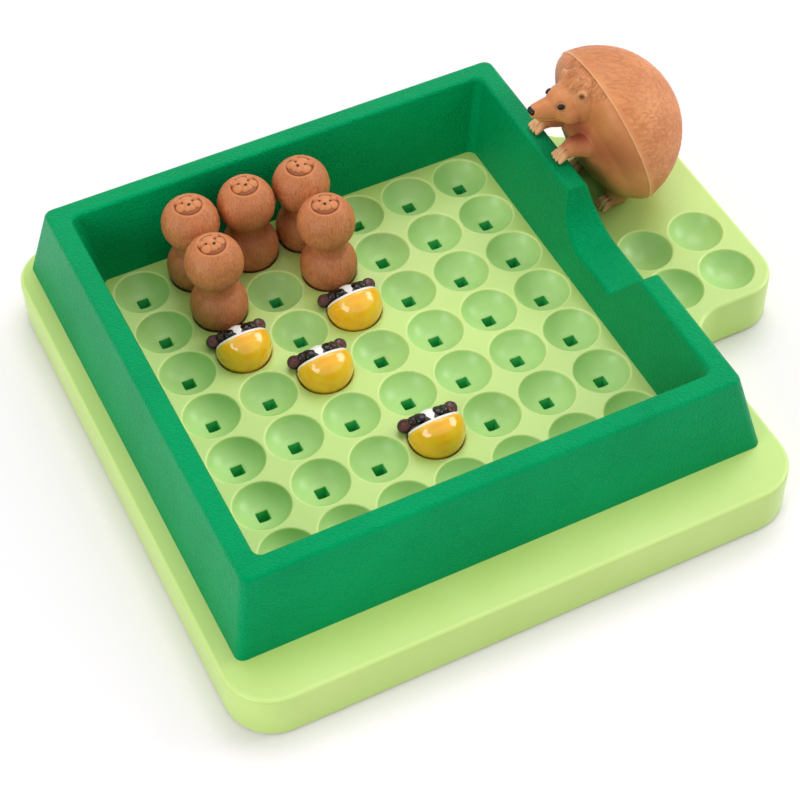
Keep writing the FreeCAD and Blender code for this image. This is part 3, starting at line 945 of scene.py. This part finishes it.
def makeBadgerRim():  # white bead where the face meets the yellow, and the mask that closes the ball behind it
    mesh = bmesh.new()
    stripe = mesh.verts.layers.float.new("stripe")
    forward, side, third = faceAxes()
    rim, (beadOut, beadUp) = badger["planeAt"], badger["bead"]
    reach = math.sqrt(badger["radius"] ** 2 - rim ** 2) - badger["lip"] * 1.05
    turns = roundTurns(badger["rimAround"])
    rings = []
    for angle in turns:
        out = outward(side, third, angle)
        middle = out * reach + forward * (rim + 0.05)
        rings.append(addRing(mesh, [middle + out * (beadOut * math.cos(turn)) + forward * (beadUp * math.sin(turn))
                                    for turn in roundTurns(12)]))
    bridgeAll(mesh, rings, looped=True)
    rings = []
    for step in range(badger["maskSteps"]):
        share = 1 - step / badger["maskSteps"]
        height = rim - 0.1 + badger["maskRise"] * (1 - share * share)
        ring = addRing(mesh, [outward(side, third, angle) * (reach * share) + forward * height for angle in turns])
        for vert in ring:
            vert[stripe] = stripeShare(vert.co)
        rings.append(ring)
    bridgeAll(mesh, rings)
    fanRing(mesh, rings[-1], forward * (rim - 0.1 + badger["maskRise"]))
    return finishMesh(mesh, "badger_rim")


def makeBadgerEyes():
    mesh = bmesh.new()
    for sign in (-1, 1):
        addPebble(mesh, flipped(badger["eye"], sign), badger["eyeSize"])
    return finishMesh(mesh, "badger_eyes")


def makeBadgerLids():  # brown lids and ears in one hairy skin, with a hollow in each ear
    mesh = bmesh.new()
    for sign in (-1, 1):
        for place, radii in badger["lids"]:
            addLobe(mesh, flipped(place, sign), radii)
    data = voxelSculpt(mesh, "badger_lids", badger["lidVoxel"])
    radius = badger["earRadius"]
    moved, blushes = [], []
    for vert in data.vertices:
        sign = 1 if vert.co.x > 0 else -1
        away = vert.co - flipped(badger["ear"], sign)
        toFront = away.normalized().dot(flipped(badger["earWay"], sign).normalized())
        near = 1 - smoothStep(radius, radius + 0.5, away.length)
        hollow = near * smoothStep(0.6, 0.93, toFront)
        hair = noise.noise(Vector((vert.co.x * 0.9, vert.co.y * 2.4, vert.co.z * 2.4)))
        push = 0.12 * near * hump(toFront - 0.62, 0.14) - 0.75 * hollow + 0.16 * hair
        moved += list((vert.co + vert.normal * push) * millimetre)
        # on the lids the reddish mask is a lighter brown in the ear hollows, round the ears and on the raised hair
        blushes.append(max(hollow, 0.35 * near, 0.5 * max(0.0, hair)))
    return carveSkin(data, moved, {"blushAndShade": blushes})


def makeBadgers():
    parts = [("body", makeBadgerBody(), yellowPlastic, "_body", "yellow_plastic"),
             ("face", makeBadgerFace(), facePaint, "_head", "badger_face_paint"),
             ("rim", makeBadgerRim(), facePaint, None, "badger_face_paint"),
             ("eyes", makeBadgerEyes(), blackGloss, None, "badger_face_paint"),
             ("lids", makeBadgerLids(), darkPaint, None, "badger_face_paint")]
    for number, cell in enumerate(badger["cells"], 1):
        body = "badger_%d" % number
        place = Matrix.Translation(gridPoint(*cellPlace(cell), trayTop + badger["lift"]) * millimetre)
        for part, data, material, ending, slot in parts:
            replaced = [body + ending] if ending else []
            placePiece("%s_%s_moulding" % (body, part), data, material, body, replaced, place)


makeBadgers()
print("blockers made")


backLow, backHigh = [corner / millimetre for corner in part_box("mother_back")]
mother = {
    "radius": 31.5, "depth": 28.0, "lean": math.radians(16.5), "skin": 2.2, "rimX": 90.95,
    "middleY": (backLow.y + backHigh.y) / 2, "spineDepth": 0.34, "voxel": 0.32, "front": 11.0,
    "belly": (14.3, 28.0), "bellyDrop": 2.9,  # depth and radius, and how far below the rim's centre
    "lobes": [  # centre x, side, z, then radii
        ((78.5, 0, 70.5), (7.5, 10.0, 10.5)), ((72.8, 0, 69.5), (7.2, 7.8, 7.2)), ((69.9, 0, 72.4), (4.6, 4.8, 4.0))],
    "pairs": [  # the same, mirrored to both sides
        ((72.9, 4.6, 68.7), (4.8, 4.2, 4.6)), ((93.0, 9.5, 26.0), (6.0, 5.0, 5.0))],
    "rods": [  # start, end, and the radius at each
        ((68.5, 0, 69.6), (60.9, 0, 70.4), 4.7, 3.0), ((70.0, 0, 65.5), (63.2, 0, 67.0), 3.5, 2.2)],
    "pairRods": [
        ((79.0, 9.3, 54.2), (71.8, 8.9, 55.6), 5.0, 3.8), ((71.8, 8.9, 55.6), (67.6, 8.8, 54.1), 3.7, 2.6),
        ((92.5, 11.5, 23.5), (86.4, 11.5, 23.1), 3.1, 2.7)],
    "toes": [((68.0, 8.8, 54.2), (64.7, 8.8, 52.6)), ((86.6, 11.5, 23.0), (83.6, 11.5, 21.6))],
    "toeRadius": 1.1, "toeSpread": 1.7, "backSteps": (120, 24), "backAround": 560,
    "rim": [(0.02, 0.35, 0.5), (0.12, 0.1, 1), (0.4, 0.0, 1), (0.75, 0.0, 0.4), (1.4, 0.05, 0)],  # in, behind, and pale, a painted highlight along the rim
    "ear": (75.5, 7.0, 76.8), "earRadii": (2.1, 2.1, 1.3), "earFacing": (-0.62, 0.62, 0.25),
    "eye": (68.3, 4.8, 73.0), "eyeSize": (1.4, 1.1, 0.8), "eyeFacing": (-0.4, 0.9, 0.3),
    "nose": (59.0, 0.6, 71.2), "noseSize": (1.4, 1.4, 1.4), "noseTip": ((59.4, 0, 70.1), (1.2, 0.9, 1.6))}


def motherPoint(x, side, z):
    return Vector((x, mother["middleY"] + side, z))


def motherFrame():
    lean = mother["lean"]
    forward = Vector((-math.cos(lean), 0, -math.sin(lean)))
    up = Vector((-math.sin(lean), 0, math.cos(lean)))
    centre = motherPoint(mother["rimX"], 0, backLow.z + mother["radius"] * math.cos(lean))
    return centre, forward, Vector((0, 1, 0)), up


def spines(point):  # short wavy ridges running back from the rim
    wave = 0.9 * noise.noise(Vector((point.y * 0.12, point.z * 0.12, point.x * 0.2 + 4)))
    along, across = point.x * 0.9 - point.y * 0.44, point.x * 0.44 + point.y * 0.9
    sample = Vector((along * 0.15, across * 0.5 + wave, point.z * 0.72 + wave))
    return 0.6 * ridge(sample, 2.6, 1.3) + 0.4 * ridge(sample * 2.1 + Vector((5.0, 2.0, 8.0)), 2.6, 1.3)


def capSection(radius, depth, steps):  # (reach, distance behind the rim) of part of a ball, pole first
    ball = (radius ** 2 + depth ** 2) / (2 * depth)
    rimTurn = math.acos(1 - depth / ball)
    turns = [rimTurn * step / steps for step in range(steps)]
    return [(ball * math.sin(turn), depth - ball + ball * math.cos(turn)) for turn in turns]


def makeMotherBack():
    mesh = bmesh.new()
    furrowShade = mesh.verts.layers.float.new("furrowShade")
    edge = mesh.verts.layers.float.new("edge")
    centre, forward, side, up = motherFrame()
    radius, depth, skin, cut = mother["radius"], mother["depth"], mother["skin"], mother["spineDepth"]
    outsideSteps, insideSteps = mother["backSteps"]
    ball = (radius ** 2 + depth ** 2) / (2 * depth)
    section = [(reach, behind, True, 0) for reach, behind in capSection(radius, depth, outsideSteps)[1:]]
    section += [(radius - inset, behind, False, pale) for inset, behind, pale in mother["rim"]]
    inside = capSection(radius - skin, depth - skin, insideSteps)[1:]
    section += [(reach, behind, False, 0) for reach, behind in reversed(inside)]
    rings = []
    for reach, behind, spiny, pale in section:
        ring = []
        for angle in roundTurns(mother["backAround"]):
            base = outward(side, up, angle) * reach - forward * behind
            groove = spines(base + centre) * smoothStep(0.3, 2.5, behind) if spiny else 0.0
            normal = (base + forward * (depth - ball)).normalized()
            vert = mesh.verts.new(centre + base - normal * (cut * groove))
            # painted shade in the spine grooves
            vert[furrowShade] = 0.42 * max(0.0, groove - 0.15)
            # painted highlight: the pale ring along the rim
            vert[edge] = pale
            ring.append(vert)
        rings.append(ring)
    bridgeAll(mesh, rings)
    fanRing(mesh, rings[0], centre - forward * (depth - cut * 0.5))
    fanRing(mesh, rings[-1], centre - forward * (depth - skin))
    makePiece("mother_back_moulding", mesh, brownVinyl, "mother", ["mother_back"])


def mirrored(place, sign):
    return motherPoint(place[0], sign * place[1], place[2])


def sculptMother():
    mesh = bmesh.new()
    centre, forward, side, up = motherFrame()
    lean = Matrix((forward, side, up)).transposed()
    depth, radius = mother["belly"]
    addLobe(mesh, centre, (mother["front"], mother["radius"] - 0.6, mother["radius"] - 0.6), lean)
    addLobe(mesh, centre - up * mother["bellyDrop"], (depth, radius, radius), lean)
    for place, radii in mother["lobes"]:
        addLobe(mesh, mirrored(place, 1), radii)
    for start, end, first, last in mother["rods"]:
        addRod(mesh, mirrored(start, 1), mirrored(end, 1), first, last)
    for sign in (-1, 1):
        for place, radii in mother["pairs"]:
            addLobe(mesh, mirrored(place, sign), radii)
        for start, end, first, last in mother["pairRods"]:
            addRod(mesh, mirrored(start, sign), mirrored(end, sign), first, last)
        for start, end in mother["toes"]:
            for spread in (-1.5, -0.5, 0.5, 1.5):
                shift = spread * mother["toeSpread"]
                first = mirrored((start[0], start[1] + shift * 0.8, start[2]), sign)
                last = mirrored((end[0] + abs(spread) * 0.35, end[1] + shift, end[2]), sign)
                addRod(mesh, first, last, mother["toeRadius"] * 1.15, mother["toeRadius"] * 0.8)
        x, side, z = mother["earFacing"]
        facing = Vector((x, side * sign, z)).normalized().to_track_quat("Z", "Y").to_matrix()
        addLobe(mesh, mirrored(mother["ear"], sign), mother["earRadii"], facing)
    return voxelSculpt(mesh, "mother_sculpt", mother["voxel"])


motherMarks = {  # carved and tinted marks of the large figure, at an x and a z in the frame
    "cuts": {  # how deep each kind is cut and how dark the painted shade in its furrow is
        "mouth": (0.45, 0.9), "ear": (1.0, 1.2), "eye": (0.2, 0.3), "cheek": (0.4, 0.45), "fur": (0.24, 0.62),
        "toes": (0.4, 0.8)},
    "mouth": {"start": 60.5, "end": 69.0, "z": 68.1, "slope": 0.2, "width": 0.34, "gap": 0.4, "reach": 2.0},
    "ear": {"reach": 3.2, "pit": 0.95, "rim": 1.8, "rimWidth": 0.4, "pale": 0.4},
    "eye": {"radius": 1.75, "width": 0.35},
    "cheek": {"x": 72.6, "z": 69.6, "radius": 6.6, "width": 0.45},
    "toes": {"width": 0.3, "pale": 0.75, "reach": 4.5},
    # painted shade: a reddish darkening under the neck, behind the arm and under the jaw
    "neck": {"x": 74.5, "z": 60.0, "width": 6.5, "blushAndShade": 0.9},
    "armRoot": {"x": 81.0, "z": 57.0, "width": 9.0, "blushAndShade": 0.6},
    # belly: olive painted shade, fading out between the low and high heights
    "jaw": {"blushAndShade": 0.75}, "belly": {"oliveShade": 0.75, "low": 28.0, "high": 44.0}}


def mouthCut(x, away, z):
    mouth = motherMarks["mouth"]
    rise = z - (mouth["z"] - mouth["slope"] * (x - mouth["start"]))
    if not mouth["start"] < x < mouth["end"] or away <= mouth["gap"] or abs(rise) >= mouth["reach"]:
        return 0.0
    return hump(rise, mouth["width"]) * (1 - smoothStep(mouth["end"] - 1.7, mouth["end"] - 0.4, x))


def earMarks(spot):  # the pit in the ear, and the pale ring round it
    ear = motherMarks["ear"]
    facing = Vector(mother["earFacing"]).normalized()
    away = spot - Vector(mother["ear"])
    if away.length >= ear["reach"]:
        return 0.0, 0.0
    flat = (away - facing * away.dot(facing)).length
    pit = hump(flat, ear["pit"]) * smoothStep(0.1, 0.8, away.dot(facing))
    return pit, ear["pale"] * hump(flat - ear["rim"], ear["rimWidth"])


def cheekFold(x, away, z):  # runs down behind the cheek and under the jaw
    cheek = motherMarks["cheek"]
    fold = hump(math.hypot(x - cheek["x"], z - cheek["z"]) - cheek["radius"], cheek["width"])
    fold *= smoothStep(3.5, 5.5, away) * smoothStep(68, 72, x)
    return fold * (1 - smoothStep(75, 77.5, x)) * (1 - smoothStep(74.5, 76, z))


def furMarks(point, side):  # wavy fur between the forehead and the rim, lighter strokes on the cheeks
    x, z, away = point.x, point.z, abs(side)
    wave = 0.7 * noise.noise(point * 0.25)
    coarse = Vector(((x + z) * 0.12, (x - z) * 0.62 + wave, side * 1.05 + wave))
    fine = Vector(((x + z) * 0.24, (x - z) * 1.25 + wave, side * 2.1 + wave))
    strokes = 0.6 * ridge(coarse, 3.2, 1) + 0.5 * ridge(fine, 3.2, 1)
    mane = smoothStep(74.5, 78, z + 0.25 * (x - 74)) * smoothStep(68, 72.5, x)
    mane *= 1 - smoothStep(8, 13, away - 0.9 * max(0.0, z - 75))
    cheeks = 0.22 * (1 - smoothStep(74, 78, x))
    # the second value is pale painted highlight on the mane
    return strokes * max(mane, cheeks), 0.16 * mane * smoothStep(0.12, 0.3, noise.noise(coarse))


def toeMarks(x, away, z):  # gaps between the toes, and how pale the toes are
    toes = motherMarks["toes"]
    gaps = pale = 0.0
    for start, end in mother["toes"]:
        if end[0] - 1.5 < x < start[0] + 1.0 and abs(z - end[2]) < toes["reach"]:
            pale = max(pale, toes["pale"] * (1 - smoothStep(end[0] + 1.2, start[0] + 0.6, x)))
            gaps += sum(hump(away - start[1] - gap * mother["toeSpread"], toes["width"]) for gap in (-1, 0, 1))
    return gaps, pale


def motherDetail(point):  # push along the normal, then shares of painted furrow shade, the reddish tone with its painted shade, olive painted shade, and pale
    x, side, z = point.x, point.y - mother["middleY"], point.z
    away = abs(side)
    spot = Vector((x, away, z))
    eye, neck, armRoot, belly = [motherMarks[name] for name in ("eye", "neck", "armRoot", "belly")]
    pit, paleEar = earMarks(spot)
    fur, paleFur = furMarks(point, side)
    gaps, paleToes = toeMarks(x, away, z)
    eyeRing = hump((spot - Vector(mother["eye"])).length - eye["radius"], eye["width"])
    shares = {"mouth": mouthCut(x, away, z), "ear": pit, "eye": eyeRing, "cheek": cheekFold(x, away, z),
              "fur": fur, "toes": gaps}
    cuts = motherMarks["cuts"]
    push = -sum(cuts[name][0] * share for name, share in shares.items())
    # painted shade in each cut
    furrowShade = sum(cuts[name][1] * share for name, share in shares.items())
    # pale: painted highlight on the mane's fur, with a pale ring round each ear pit and paler toe tips
    pale = max(paleEar, paleFur, paleToes)
    # painted shade: reddish under the neck, behind the arm and under the jaw
    underNeck = hump(math.hypot(x - neck["x"], z - neck["z"]), neck["width"]) * (1 - smoothStep(9, 15, away))
    behindArm = hump(math.hypot(x - armRoot["x"], z - armRoot["z"]), armRoot["width"]) * smoothStep(75, 78, x)
    underJaw = smoothStep(66.6, 65.0, z) * (1 - smoothStep(70, 74, x)) * smoothStep(60, 63, z)
    blushAndShade = max(neck["blushAndShade"] * underNeck, armRoot["blushAndShade"] * behindArm, motherMarks["jaw"]["blushAndShade"] * underJaw)
    # painted shade: olive, darker towards the bottom of the body
    oliveShade = belly["oliveShade"] * (1 - smoothStep(belly["low"], belly["high"], z)) * smoothStep(74, 80, x) * (1 - pale)
    return push, min(1.0, furrowShade), min(1.0, blushAndShade), oliveShade, pale


def makeMotherBody():
    data = sculptMother()
    moved, shares = [], {"furrowShade": [], "blushAndShade": [], "oliveShade": [], "edge": []}
    for vert in data.vertices:
        push, *tints = motherDetail(vert.co)
        moved += list((vert.co + vert.normal * push) * millimetre)
        for values, tint in zip(shares.values(), tints):
            values.append(tint)
    data = carveSkin(data, moved, shares)
    placePiece("mother_body_moulding", data, brownVinyl, "mother", ["mother_body"])


def makeMotherFace():
    mesh = bmesh.new()
    for sign in (-1, 1):
        x, side, z = mother["eyeFacing"]
        turn = Vector((x, side * sign, z)).normalized().to_track_quat("Z", "Y").to_matrix()
        addPebble(mesh, mirrored(mother["eye"], sign), mother["eyeSize"], turn)
        addPebble(mesh, mirrored(mother["nose"], sign), mother["noseSize"])
    place, size = mother["noseTip"]
    addPebble(mesh, mirrored(place, 1), size)
    makePiece("mother_eyes_and_nose", mesh, blackGloss, "mother")


makeMotherBack()
makeMotherBody()
makeMotherFace()
print("large figure made")
